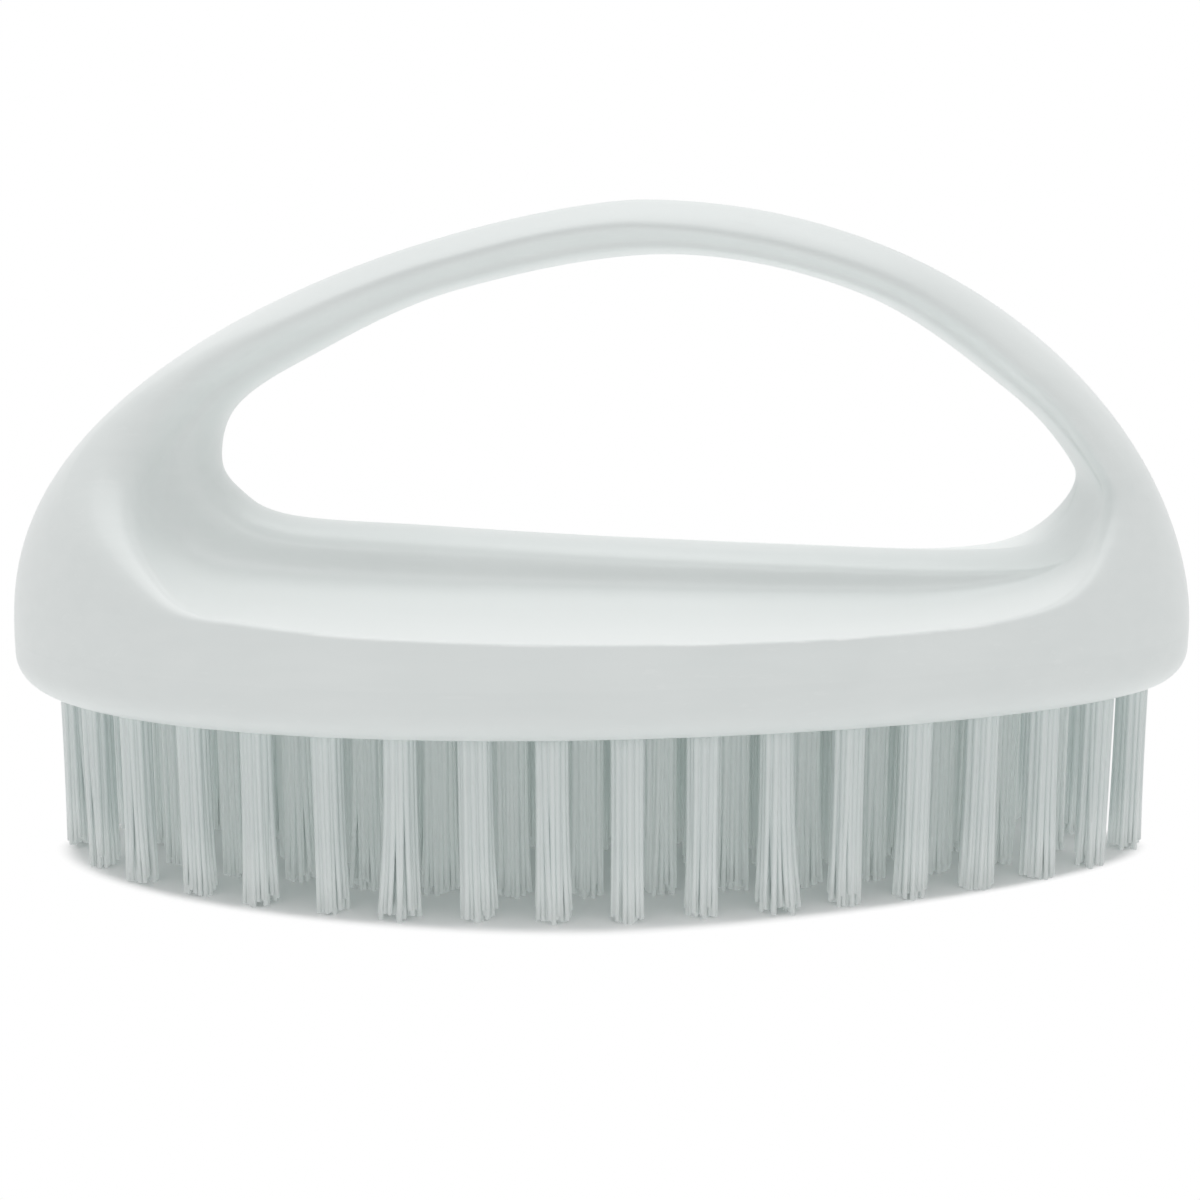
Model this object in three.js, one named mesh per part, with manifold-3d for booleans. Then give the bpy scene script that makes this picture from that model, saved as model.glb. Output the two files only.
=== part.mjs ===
// A nail brush with a loop handle.
// A moulded handle is welded onto an egg-shaped bristle plate. The plate is drilled through, the bristle
// tufts hang down through the holes, and their melted ends form flat backings between plate and handle.
// Millimetres, +Z up, +X along the brush. The brush stands on its bristle tips at z = 0.

import * as THREE from "three";
import { mergeVertices } from "three/addons/utils/BufferGeometryUtils.js";
import Module from "manifold-3d";

const wasm = await Module();
wasm.setup();

// Overall sizes
const bodyLength = 95.2;
const bodyWidth = 42.3;
const bodyHeight = 53.05;
const fitGap = 0.3;

// The base is egg-shaped: this share of its width is lost at the right end and gained at the left
const slimming = 0.186;

// Bristle plate
const bristleLength = 14.65;
const plateThickness = 4.2;
const plateLand = 1.3;

// Handle: the dome outside, the rim edge around its scooped sides, and the finger hole
const crownOffset = 2.84;
const crownThickness = 4.1;
const crownHalfWidth = 7;
const rimDraft = 0.5;
const wallHeight = 2.7;
const webHalfThickness = 4.6;
const crownWebHalfThickness = 5.8;
const holeEdgeRound = 3.3;
const leftEndWidth = 16.9;
const rightEndWidth = 8.5;
const floorRiseLeft = 8.68;
const floorRiseRight = 5.08;

// Pocket under the handle, where the backings lie
const skirtWall = 1.9;
const pocketDepth = 1.45;

// Tufts: rows follow the base's outline, one inside the other, round a straight row in the middle
const ovalRows = 3;
const rowEndStep = 6.2;
const tuftPitch = 5.7;
const backingHalfWidth = 1.9;
const strandsPerTuft = 5;
const strandRadius = 0.37;
const strandTipRadius = 0.33;
const strandRing = 0.66;
const strandSplay = 0.4;

// Fineness of the facets
const stepsPerSection = 5;
const outerSteps = 4;
const coveSteps = 5;
const roundSteps = 4;
const ovalSides = 64;
const edgeSteps = 4;
const holeSides = 8;
const weldDistance = 1e-4;
const overcut = 1;

// Places worked out from the sizes
const halfLength = bodyLength / 2;
const halfWidth = bodyWidth / 2;
const plateTop = bristleLength + plateThickness;
const footHeight = plateTop + fitGap;
const domeHeight = bodyHeight - footHeight;
const pocketRoof = footHeight + pocketDepth;
const backingTop = pocketRoof - fitGap;
const strandRoot = (footHeight + backingTop) / 2;
const plateEdgeRadius = plateThickness - plateLand;
const holeLeft = leftEndWidth - halfLength;
const holeRight = halfLength - rightEndWidth;
const holeTop = bodyHeight - crownThickness;
const outerRowInset = skirtWall + fitGap + backingHalfWidth;
const rowStep = (halfWidth - outerRowInset) / ovalRows;
const leanInPlate = strandSplay * (1 - bristleLength / strandRoot);
const tuftRadius = strandRing + leanInPlate + strandRadius;
const tuftHoleRadius = (tuftRadius + fitGap) / Math.cos(Math.PI / holeSides);

// Shapes of the curves. In an exponent, 2 is a true ellipse and less is more pointed.
// The rest are shares: how far the sides swell, how much of a narrow side the rounding at the hole
// may take, where up the dome the web thickens toward the crown, and how a cove leaves the rim,
// nears the web and turns up it. A shelf counts as narrow or broad by its width in millimetres.
const planExponent = 2;
const rowExponent = 1.66;
const sideBulge = 0.45;
const roundLimit = 0.4;
const narrowShelf = 3;
const broadShelf = 12;
const webThickens = { from: 0.58, to: 0.86 };
const narrowCove = { rise: 0.3, foot: 0.6, turn: 0.4 };
const broadCove = { rise: -0.06, foot: 0.14, turn: 0.04 };
const domeLeft = { along: 1.463, up: 2.188 };
const domeRight = { along: 2.034, up: 1.782 };

// The handle is lofted through guide sections, listed round the loop from the middle of the base.
// Each starts on the outside, at an angle round the foot's oval or an angle up the dome, both from the right.
// Its rim edge and its hole edge are given as shares of the hole's length and of its height.
// Above the ends the rim flares past the crown's half width. The ends dip below the foot and are cut there.
const footDip = 0.2;
const sections = [
  { foot: Math.PI / 2, rim: [0.435, -0.172], hole: [0.442, -0.008] },
  { foot: 1.18, rim: [0.673, -0.138], hole: [0.673, -0.006] },
  { foot: 0.78, rim: [0.865, -0.088], hole: [0.862, 0.003] },
  { foot: 0, angle: -footDip, rim: [0.957, 0.006], hole: [0.957, 0.039] },
  { angle: 0.28, rim: [0.997, 0.2], hole: [1, 0.187], flare: 0.6 },
  { angle: 0.53, rim: [0.99, 0.349], hole: [0.984, 0.322], flare: 0.1 },
  { angle: 0.77, rim: [0.911, 0.615], hole: [0.902, 0.554], flare: 0 },
  { angle: 1.14, rim: [0.736, 0.95], hole: [0.733, 0.864], flare: 0 },
  { angle: 1.6, rim: [0.481, 1.107], hole: [0.515, 0.997], flare: 0 },
  { angle: 1.98, rim: [0.257, 0.98], hole: [0.274, 0.87], flare: 0 },
  { angle: 2.25, rim: [0.08, 0.751], hole: [0.106, 0.621], flare: 0.1 },
  { angle: 2.45, rim: [-0.026, 0.537], hole: [0.021, 0.43], flare: 0.8 },
  { angle: 2.76, rim: [-0.096, 0.19], hole: [0, 0.23], flare: 3.4 },
  { foot: Math.PI, angle: Math.PI + footDip, rim: [-0.022, -0.132], hole: [0.018, 0.107] },
  { foot: 2.36, rim: [0.072, -0.19], hole: [0.075, 0.014] },
  { foot: 1.94, rim: [0.232, -0.193], hole: [0.24, 0] },
];

const power = (value, exponent) => Math.sign(value) * Math.abs(value) ** exponent;

const taper = (x) => 1 - (slimming * x) / halfLength;

function ovalPoint(halfLong, halfWide, exponent, angle) {
  const x = halfLong * power(Math.cos(angle), 2 / exponent);
  const y = halfWide * power(Math.sin(angle), 2 / exponent);
  return new THREE.Vector2(x, y * taper(x));
}

function ovalPoints(halfLong, halfWide, exponent, count) {
  return Array.from({ length: count }, (_, i) =>
    ovalPoint(halfLong, halfWide, exponent, (2 * Math.PI * i) / count));
}

// The handle's outline seen from the side, from its right foot (0) over the crown to its left foot (pi)
function domePoint(angle) {
  const across = Math.cos(angle);
  const side = across >= 0 ? domeRight : domeLeft;
  const reach = across >= 0 ? halfLength - crownOffset : halfLength + crownOffset;
  const x = crownOffset + reach * power(across, 2 / side.along);
  const z = footHeight + domeHeight * power(Math.sin(angle), 2 / side.up);
  return new THREE.Vector3(x, 0, z);
}

// Half the width of the upright wall at a place: an oval at each height, as long as the dome is there
function wallHalfWidth(x, z) {
  const up = Math.abs(z - footHeight) / domeHeight;
  const reach = ({ along, up: exponent }) => (1 - up ** exponent) ** (1 / along);
  const right = crownOffset + (halfLength - crownOffset) * reach(domeRight);
  const left = crownOffset - (halfLength + crownOffset) * reach(domeLeft);
  const share = Math.min(1, Math.abs(2 * x - left - right) / (right - left));
  return halfWidth * taper(x) * (1 - share ** planExponent) ** (1 / planExponent);
}

function holePoint([along, up]) {
  const floor = footHeight + THREE.MathUtils.lerp(floorRiseLeft, floorRiseRight, along);
  const x = THREE.MathUtils.lerp(holeLeft, holeRight, along);
  return new THREE.Vector3(x, 0, THREE.MathUtils.lerp(floor, holeTop, up));
}

// Where a station between two guide sections starts on the outside: under the foot or on the dome
function outerPoint(from, to, share) {
  if (from.foot !== undefined && to.foot !== undefined) {
    const across = (1 - Math.cos(THREE.MathUtils.lerp(from.foot, to.foot, share))) / 2;
    const point = domePoint(-footDip).lerp(domePoint(Math.PI + footDip), across);
    point.y = wallHalfWidth(point.x, point.z);
    return point;
  }
  return domePoint(THREE.MathUtils.lerp(from.angle, to.angle, share));
}

function rimPoint(section) {
  const point = holePoint(section.rim);
  point.y = section.foot === undefined
    ? crownHalfWidth + section.flare
    : wallHalfWidth(point.x, footHeight) - rimDraft;
  return point;
}

function webHalfWidth(height) {
  const up = (height - footHeight) / domeHeight;
  const crowned = THREE.MathUtils.smoothstep(up, webThickens.from, webThickens.to);
  return THREE.MathUtils.lerp(webHalfThickness, crownWebHalfThickness, crowned);
}

// The scooped side from the rim to where the rounding at the hole starts, as depth and half width
function coveCurve(rimWidth, web, reach, end) {
  const shelf = rimWidth - web;
  const broad = THREE.MathUtils.smoothstep(shelf, narrowShelf, broadShelf);
  const rise = THREE.MathUtils.lerp(narrowCove.rise, broadCove.rise, broad);
  const foot = THREE.MathUtils.lerp(narrowCove.foot, broadCove.foot, broad);
  const turn = THREE.MathUtils.lerp(narrowCove.turn, broadCove.turn, broad);
  return new THREE.CubicBezierCurve(
    new THREE.Vector2(0, rimWidth),
    new THREE.Vector2(reach * rise, web + shelf * foot),
    new THREE.Vector2(reach * turn, web),
    new THREE.Vector2(end, web));
}

// Half a cross section, from the outer edge over the rim and down the scooped side to the hole's edge
function halfSection(outer, rim, hole) {
  const points = [];
  for (let i = 0; i <= outerSteps; i++) {
    const share = (i / outerSteps) ** 2;
    const point = outer.clone().lerp(rim, share);
    const swell = share * (1 + sideBulge * (1 - share));
    const swollen = Math.sqrt(THREE.MathUtils.lerp(outer.y ** 2, rim.y ** 2, swell));
    const aboveWall = THREE.MathUtils.smoothstep(point.z, footHeight, footHeight + wallHeight);
    point.y = THREE.MathUtils.lerp(wallHalfWidth(point.x, point.z), swollen, aboveWall);
    points.push(point);
  }
  const reach = Math.hypot(hole.x - rim.x, hole.z - rim.z);
  const round = Math.min(holeEdgeRound, reach * roundLimit);
  const web = webHalfWidth(rim.z);
  const cove = coveCurve(rim.y, web, reach, reach - round);
  const edge = new THREE.EllipseCurve(reach - round, 0, round, web, Math.PI / 2, 0, true);
  const side = [...cove.getPoints(coveSteps).slice(1), ...edge.getPoints(roundSteps).slice(1)];
  for (const { x: depth, y } of side) {
    const point = rim.clone().lerp(hole, depth / reach);
    point.y = y;
    points.push(point);
  }
  points[points.length - 1].y = 0;
  return points;
}

// A surface over a grid of points that closes on itself both ways
function closedGrid(rows) {
  const width = rows[0].length;
  const index = [];
  rows.forEach((row, r) => {
    const next = (r + 1) % rows.length;
    for (let c = 0; c < width; c++) {
      const d = (c + 1) % width;
      const corners = [r * width + c, r * width + d, next * width + d, next * width + c];
      index.push(corners[0], corners[1], corners[2], corners[0], corners[2], corners[3]);
    }
  });
  const geometry = new THREE.BufferGeometry().setFromPoints(rows.flat());
  return geometry.setIndex(index);
}

// A closed block through rings of points, one above the other, from the lowest up
function stackedRings(rings) {
  const sides = rings[0].length;
  const index = [];
  for (let r = 0; r + 1 < rings.length; r++) {
    for (let c = 0; c < sides; c++) {
      const d = (c + 1) % sides;
      const low = r * sides;
      const high = low + sides;
      index.push(low + c, low + d, high + d, low + c, high + d, high + c);
    }
  }
  const top = (rings.length - 1) * sides;
  for (let c = 1; c + 1 < sides; c++) {
    index.push(0, c + 1, c, top, top + c, top + c + 1);
  }
  const geometry = new THREE.BufferGeometry().setFromPoints(rings.flat());
  return geometry.setIndex(index);
}

function ovalRing(inset, z) {
  return ovalPoints(halfLength - inset, halfWidth - inset, planExponent, ovalSides)
    .map((point) => new THREE.Vector3(point.x, point.y, z));
}

// Joins a geometry's shared corners and drops the triangles that close up to nothing
function solid(geometry) {
  geometry.deleteAttribute("normal");
  geometry.deleteAttribute("uv");
  const merged = mergeVertices(geometry, weldDistance);
  const corners = merged.index.array;
  const kept = [];
  for (let i = 0; i < corners.length; i += 3) {
    const [a, b, c] = corners.slice(i, i + 3);
    if (a !== b && b !== c && c !== a) {
      kept.push(a, b, c);
    }
  }
  const vertProperties = Float32Array.from(merged.attributes.position.array);
  return new wasm.Manifold(new wasm.Mesh({ numProp: 3, vertProperties, triVerts: Uint32Array.from(kept) }));
}

function mesh(name, body, material) {
  const { vertProperties, triVerts } = body.getMesh();
  const geometry = new THREE.BufferGeometry();
  geometry.setAttribute("position", new THREE.BufferAttribute(vertProperties, 3));
  geometry.setIndex(new THREE.BufferAttribute(triVerts, 1));
  geometry.computeVertexNormals();
  const part = new THREE.Mesh(geometry, material);
  part.name = name;
  return part;
}

// The loop handle, with the shallow pocket in its underside
function handle() {
  const rimLine = new THREE.CatmullRomCurve3(sections.map(rimPoint), true, "catmullrom");
  const holeLine = new THREE.CatmullRomCurve3(sections.map((s) => holePoint(s.hole)), true, "catmullrom");
  const count = sections.length * stepsPerSection;
  const rows = [];
  for (let i = 0; i < count; i++) {
    const from = sections[Math.floor(i / stepsPerSection)];
    const to = sections[(Math.floor(i / stepsPerSection) + 1) % sections.length];
    const outer = outerPoint(from, to, (i % stepsPerSection) / stepsPerSection);
    const half = halfSection(outer, rimLine.getPoint(i / count), holeLine.getPoint(i / count));
    const mirrored = half.slice(0, -1).reverse().map((p) => new THREE.Vector3(p.x, -p.y, p.z));
    rows.push([...half, ...mirrored]);
  }
  const below = new THREE.BoxGeometry(2 * bodyLength, 2 * bodyWidth, bodyHeight);
  below.translate(0, 0, footHeight - bodyHeight / 2);
  const pocket = stackedRings([ovalRing(skirtWall, footHeight - overcut), ovalRing(skirtWall, pocketRoof)]);
  return solid(closedGrid(rows)).subtract(solid(below)).subtract(solid(pocket));
}

// Evenly spaced places round an oval row, starting a share of one space past its right end
function ringTufts(row, startShare) {
  const { halfLong, halfWide } = rowOval(row);
  const oval = ovalPoints(halfLong, halfWide, rowExponent, 4 * ovalSides);
  const path = new THREE.CatmullRomCurve3(oval.map(({ x, y }) => new THREE.Vector3(x, y, 0)), true);
  path.arcLengthDivisions = 4 * oval.length;
  const count = Math.round(path.getLength() / tuftPitch);
  return Array.from({ length: count }, (_, i) => path.getPointAt((i + startShare) / count));
}

function rowOval(row) {
  return {
    halfLong: halfLength - outerRowInset - row * rowEndStep,
    halfWide: halfWidth - outerRowInset - row * rowStep,
  };
}

// The straight middle row runs until its backing would meet the backing of the oval row round it
function middleReach() {
  const { halfLong, halfWide } = rowOval(ovalRows - 1);
  const share = (backingHalfWidth + fitGap) / ((halfWide - backingHalfWidth) * taper(halfLong));
  const meeting = (halfLong - backingHalfWidth) * (1 - share ** rowExponent) ** (1 / rowExponent);
  return meeting - backingHalfWidth;
}

function middleTufts() {
  const reach = middleReach();
  const spacesEachWay = Math.round(reach / tuftPitch);
  return Array.from({ length: 2 * spacesEachWay + 1 }, (_, i) =>
    new THREE.Vector3(reach * (i / spacesEachWay - 1), 0, 0));
}

function ringBacking(row) {
  const { halfLong, halfWide } = rowOval(row);
  const edge = (offset) => ovalPoints(halfLong + offset, halfWide + offset, rowExponent, ovalSides);
  const shape = new THREE.Shape(edge(backingHalfWidth));
  shape.holes.push(new THREE.Path(edge(-backingHalfWidth)));
  return shape;
}

function middleBacking() {
  const reach = middleReach();
  const shape = new THREE.Shape();
  shape.absarc(reach, 0, backingHalfWidth, -Math.PI / 2, Math.PI / 2);
  shape.absarc(-reach, 0, backingHalfWidth, Math.PI / 2, (3 * Math.PI) / 2);
  return shape;
}

// A three-sided ring of a strand, set a distance out from its tuft's middle
function strandRingPoints(tuft, around, out, radius, z) {
  return [0, 1, 2].map((corner) => {
    const turn = around + (2 * Math.PI * corner) / 3;
    const x = tuft.x + out * Math.cos(around) + radius * Math.cos(turn);
    const y = tuft.y + out * Math.sin(around) + radius * Math.sin(turn);
    return new THREE.Vector3(x, y, z);
  });
}

// One strand: its root lies in the backing, it leans out from its tuft's middle, and its tip is cut flat
function strand(tuft, number) {
  const around = (2 * Math.PI * number) / strandsPerTuft + tuft.x;
  const tip = strandRingPoints(tuft, around, strandRing + strandSplay, strandTipRadius, 0);
  const root = strandRingPoints(tuft, around, strandRing, strandRadius, strandRoot);
  return solid(stackedRings([tip, root]));
}

// A row of tufts on the flat backing that their melted ends make
function tuftRow(tufts, backingShape) {
  const backing = new THREE.ExtrudeGeometry(backingShape, {
    depth: backingTop - footHeight,
    bevelEnabled: false,
    curveSegments: holeSides,
  });
  const strands = tufts.flatMap((tuft) =>
    Array.from({ length: strandsPerTuft }, (_, number) => strand(tuft, number)));
  return wasm.Manifold.union([solid(backing.translate(0, 0, footHeight)), ...strands]);
}

// The plate, rounded along its lower edge, with a hole for every tuft
function bristlePlate(tufts) {
  const rings = [];
  for (let i = 0; i <= edgeSteps; i++) {
    const angle = (Math.PI / 2) * (i / edgeSteps);
    const inset = plateEdgeRadius * (1 - Math.sin(angle));
    rings.push(ovalRing(inset, bristleLength + plateEdgeRadius * (1 - Math.cos(angle))));
  }
  rings.push(ovalRing(0, plateTop));
  const depth = plateThickness + 2 * overcut;
  const holes = tufts.map((tuft) => {
    const hole = new THREE.CylinderGeometry(tuftHoleRadius, tuftHoleRadius, depth, holeSides);
    hole.rotateX(Math.PI / 2);
    return solid(hole.translate(tuft.x, tuft.y, bristleLength + plateThickness / 2));
  });
  return solid(stackedRings(rings)).subtract(wasm.Manifold.union(holes));
}

// The rows from the outside in. The shares set their tufts into each other's gaps along the front.
const rows = [
  { name: "outer_tuft_row", tufts: ringTufts(0, 0.94), backing: ringBacking(0) },
  { name: "second_tuft_row", tufts: ringTufts(1, 0.84), backing: ringBacking(1) },
  { name: "third_tuft_row", tufts: ringTufts(2, 0.7), backing: ringBacking(2) },
  { name: "middle_tuft_row", tufts: middleTufts(), backing: middleBacking() },
];

const plastic = { roughness: 0.35, metalness: 0 };
const brush = new THREE.Group();
brush.name = "nail_brush";
brush.add(mesh("handle", handle(), new THREE.MeshStandardMaterial({ color: 0xdfe4e4, ...plastic })));
brush.add(mesh(
  "bristle_plate",
  bristlePlate(rows.flatMap((row) => row.tufts)),
  new THREE.MeshStandardMaterial({ color: 0xdbe0e0, ...plastic })));
for (const row of rows) {
  const material = new THREE.MeshStandardMaterial({ color: 0xc3ccca, roughness: 0.5, metalness: 0 });
  brush.add(mesh(row.name, tuftRow(row.tufts, row.backing), material));
}

export default brush;
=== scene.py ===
# %% [markdown]
# # A nail brush with a loop handle
# The brush is two plastic mouldings and a field of bristle tufts. The handle is an arched loop on an
# egg-shaped base, the bristle plate closes the base from below, and every tuft hangs out of a hole in
# that plate. The lesson loads the CAD model as a fixed frame, sets up the view and the light, writes the
# materials, and then makes each piece again with finer curves in the same place.

import math

import bmesh
import bpy
import numpy as np
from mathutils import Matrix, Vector


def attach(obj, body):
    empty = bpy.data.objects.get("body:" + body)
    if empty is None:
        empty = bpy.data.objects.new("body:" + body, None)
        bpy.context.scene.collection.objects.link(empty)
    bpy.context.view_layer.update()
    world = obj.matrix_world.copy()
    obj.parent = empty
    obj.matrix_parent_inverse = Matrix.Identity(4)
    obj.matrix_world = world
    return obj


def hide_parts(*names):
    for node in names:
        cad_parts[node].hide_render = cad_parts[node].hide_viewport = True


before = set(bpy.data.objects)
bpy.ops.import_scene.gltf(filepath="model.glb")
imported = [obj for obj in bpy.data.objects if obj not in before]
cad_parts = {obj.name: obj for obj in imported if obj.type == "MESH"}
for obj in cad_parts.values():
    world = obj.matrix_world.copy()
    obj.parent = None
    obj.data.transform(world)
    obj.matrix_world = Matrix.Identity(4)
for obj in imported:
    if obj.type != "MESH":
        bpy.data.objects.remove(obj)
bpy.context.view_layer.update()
print("CAD nodes:", ", ".join(sorted(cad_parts)))

# %% [markdown]
# ## The view
# The brush is seen from the front and a little above, close by, so its base bows down in perspective.
# A camera could track an empty, but a direct rotation is easier to repeat: the camera is tipped down by the
# viewing angle and nothing else. Sizes are in millimetres, and MM turns them into Blender's metres.

# %% Camera
MM = 0.001
view_distance = 170
view_down = math.radians(12.72)
view_aim = Vector((-0.264, 0, 20.99))

camera_data = bpy.data.cameras.new("camera")
camera_data.lens = 62.6
camera_data.clip_start = 0.01
camera = bpy.data.objects.new("camera", camera_data)
toward_camera = Vector((0, -math.cos(view_down), math.sin(view_down)))
camera.location = (view_aim + view_distance * toward_camera) * MM
camera.rotation_euler = (math.pi / 2 - view_down, 0, 0)
bpy.context.scene.collection.objects.link(camera)
bpy.context.scene.camera = camera
bpy.context.scene.view_settings.view_transform = "Standard"
print("Camera at", [round(c / MM, 1) for c in camera.location], "mm")

# %% [markdown]
# ## Sums written with nodes
# Every material and every Geometry Nodes tree below needs small sums. This class holds one output of a node,
# so that `1 - mask` adds a Math node by itself. Its node method makes any other node: settings first, then
# the values or links of its sockets.


# %% Wires between nodes
class Wire:
    """One output of a node, to write sums with."""

    def __init__(self, tree, socket=None):
        self.tree = tree
        self.socket = socket

    def node(self, kind, sockets=None, output=0, stops=(), **settings):
        made = self.tree.nodes.new(kind)
        for name, value in settings.items():
            setattr(made, name, value)
        for place, (position, colour) in enumerate(stops):
            ramp = made.color_ramp.elements
            stop = ramp[place] if place < len(ramp) else ramp.new(position)
            stop.position, stop.color = position, colour
        for key, value in (sockets or {}).items():
            if isinstance(value, Wire):
                self.tree.links.new(value.socket, made.inputs[key])
            else:
                made.inputs[key].default_value = value
        return Wire(self.tree, made.outputs[output] if made.outputs else None)

    def output(self, name):
        return Wire(self.tree, self.socket.node.outputs[name])

    def math(self, operation, *values):
        return self.node("ShaderNodeMath", dict(enumerate(values)), operation=operation)

    def __add__(self, other):
        return self.math("ADD", self, other)

    def __sub__(self, other):
        return self.math("SUBTRACT", self, other)

    def __rsub__(self, other):
        return self.math("SUBTRACT", other, self)

    def __mul__(self, other):
        return self.math("MULTIPLY", self, other)

    def __truediv__(self, other):
        return self.math("DIVIDE", self, other)

    def __pow__(self, other):
        return self.math("POWER", self, other)

    __radd__ = __add__
    __rmul__ = __mul__


def vector_sum(*vectors):
    total = vectors[0]
    for vector in vectors[1:]:
        total = total.node("ShaderNodeVectorMath", {0: total, 1: vector}, operation="ADD")
    return total


def scaled(vector, factor):
    return vector.node("ShaderNodeVectorMath", {0: vector, "Scale": factor}, operation="SCALE")


def linear(red, green, blue):
    """A colour as a picture shows it, 0 to 255, in the linear values that shaders use."""
    shares = (channel / 255 for channel in (red, green, blue))
    return tuple(s / 12.92 if s < 0.04045 else ((s + 0.055) / 1.055) ** 2.4 for s in shares) + (1,)


print("Mid grey 188 is", round(linear(188, 188, 188)[0], 3), "in linear light")

# %% [markdown]
# ## The light
# The brush stands in even, soft light that comes mostly from above. A bright world lights all sides alike,
# and one large lamp overhead, a little behind the brush, makes the tops lighter than the walls. The world is
# plain white wherever it is seen. Light has to pass many pale bristles to reach the middle of the brush, so
# it may bounce more often than usual.

# %% World and lamp
world_strength = 0.465
bpy.context.scene.cycles.diffuse_bounces = 16
bpy.context.scene.cycles.max_bounces = 20
world = bpy.data.worlds.new("studio")
world.use_nodes = True
bpy.context.scene.world = world
world.node_tree.nodes.clear()
sky = Wire(world.node_tree)
rays = sky.node("ShaderNodeLightPath")
seen = sky.math("MAXIMUM", rays.output("Is Camera Ray"), rays.output("Is Glossy Ray"))
seen = sky.math("MAXIMUM", seen, rays.output("Is Transmission Ray"))
strength = world_strength + (1 - world_strength) * seen
backdrop = sky.node("ShaderNodeBackground", {"Color": (1, 1, 1, 1), "Strength": strength})
sky.node("ShaderNodeOutputWorld", {"Surface": backdrop})

lamp_data = bpy.data.lights.new("overhead_softbox", "AREA")
lamp_data.shape = "RECTANGLE"
lamp_data.size = 0.8
lamp_data.size_y = 1.1
lamp_data.energy = 2.9
lamp = bpy.data.objects.new("overhead_softbox", lamp_data)
lamp.location = (0, 0.15, 0.6)
bpy.context.scene.collection.objects.link(lamp)

print("Light: world", world_strength, "and lamp", lamp_data.energy, "W")

# %% [markdown]
# ## Moulded plastic
# The handle and the plate are a pale grey-white plastic with a satin skin. A single colour would look like
# plaster, so the colour drifts a little in clouds, faint flow streaks run along the brush, fine scuffs dull
# the skin in places, and a very small pebbling breaks up the highlights. Light and shade are painted in as
# well: the rim gets short lighter lines, partly worn edge and partly a painted highlight; the shelf where the
# fingers lie is painted paler as painted light; and the crown is painted darker as painted shade, with a
# rougher skin.


# %% Plastic materials
# The lighter colour serves the rim lines (worn edge and painted highlight) and the shelf (painted light); the
# darker one is painted shade on the crown.
painted_light_and_wear = linear(252, 255, 254)
painted_crown_shade = linear(227, 232, 231)
painted_shelf_light = 0.7
painted_crown_shade_share = 0.9


def new_material(name):
    material = bpy.data.materials.new(name)
    material.use_nodes = True
    material.node_tree.nodes.clear()
    return material, Wire(material.node_tree)


def stretched_noise(wire, stretch, scale, detail=2.0):
    place = wire.node("ShaderNodeTexCoord", output="Object")
    turned = wire.node("ShaderNodeMapping", {"Vector": place, "Scale": stretch})
    return wire.node("ShaderNodeTexNoise", {"Vector": turned, "Scale": scale, "Detail": detail})


def moulded_plastic(name, dark, light):
    material, wire = new_material(name)
    clouds = stretched_noise(wire, (1, 1, 1), 70, 3)
    streaks = stretched_noise(wire, (0.06, 1, 1), 900, 1)
    scuffs = stretched_noise(wire, (0.05, 1, 1), 2600, 2)
    patches = stretched_noise(wire, (1, 1, 1), 110, 2)
    scuffed = wire.math("GREATER_THAN", scuffs, 0.66) * wire.math("GREATER_THAN", patches, 0.52)
    tone = 0.55 * clouds + 0.25 * streaks + 0.1 * scuffed
    colour = wire.node("ShaderNodeValToRGB", {"Fac": tone}, stops=[(0.2, dark), (0.7, light)])
    # The rim lines are lighter: partly worn edge, partly a painted highlight.
    rim = wire.node("ShaderNodeAttribute", attribute_name="rim_edge", output="Fac")
    lines = wire.node("ShaderNodeMapRange", {0: stretched_noise(wire, (0.04, 1, 1), 1500), 1: 0.5, 2: 0.6})
    # The shelf is painted paler: painted light.
    shelf = wire.node("ShaderNodeAttribute", attribute_name="shelf", output="Fac")
    # The crown is painted darker, as painted shade, and its skin is rougher.
    crown_mark = wire.node("ShaderNodeAttribute", attribute_name="crown", output="Fac")
    paint_and_wear = ((rim * lines, painted_light_and_wear), (shelf * painted_shelf_light, painted_light_and_wear), (crown_mark * painted_crown_shade_share, painted_crown_shade))
    for share, over in paint_and_wear:
        colour = wire.node("ShaderNodeMix", {"Factor": share, 6: colour, 7: over}, output=2, data_type="RGBA")
    pebbles = stretched_noise(wire, (1, 1, 1), 3200, 2)
    bump = wire.node("ShaderNodeBump", {"Strength": 0.05, "Distance": 0.0001, "Height": pebbles})
    shader = wire.node("ShaderNodeBsdfPrincipled", {
        "Base Color": colour,
        "Roughness": 0.27 + 0.1 * patches + 0.12 * scuffed + 0.1 * crown_mark,
        "IOR": 1.49,
        "Normal": bump,
    })
    wire.node("ShaderNodeOutputMaterial", {"Surface": shader})
    return material


handle_plastic = moulded_plastic("handle_plastic", linear(234, 239, 238), linear(242, 246, 245))
plate_plastic = moulded_plastic("plate_plastic", linear(233, 238, 237), linear(241, 245, 244))
print("Plastics:", handle_plastic.name, plate_plastic.name)

# %% [markdown]
# ## Bristle filament
# Each strand is a drawn nylon filament. Strands differ slightly, so the material reads a tone that Geometry
# Nodes stores on every strand. The outer row is painted paler toward its cut tips, as painted light. Real
# filament passes light on from strand to strand into the middle of the brush. Tracing that would take very
# long, so the inner rows have a paler filament instead, and their tips are painted a little darker, as
# painted shade.


# %% Bristle material
tip_length = 6


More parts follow.
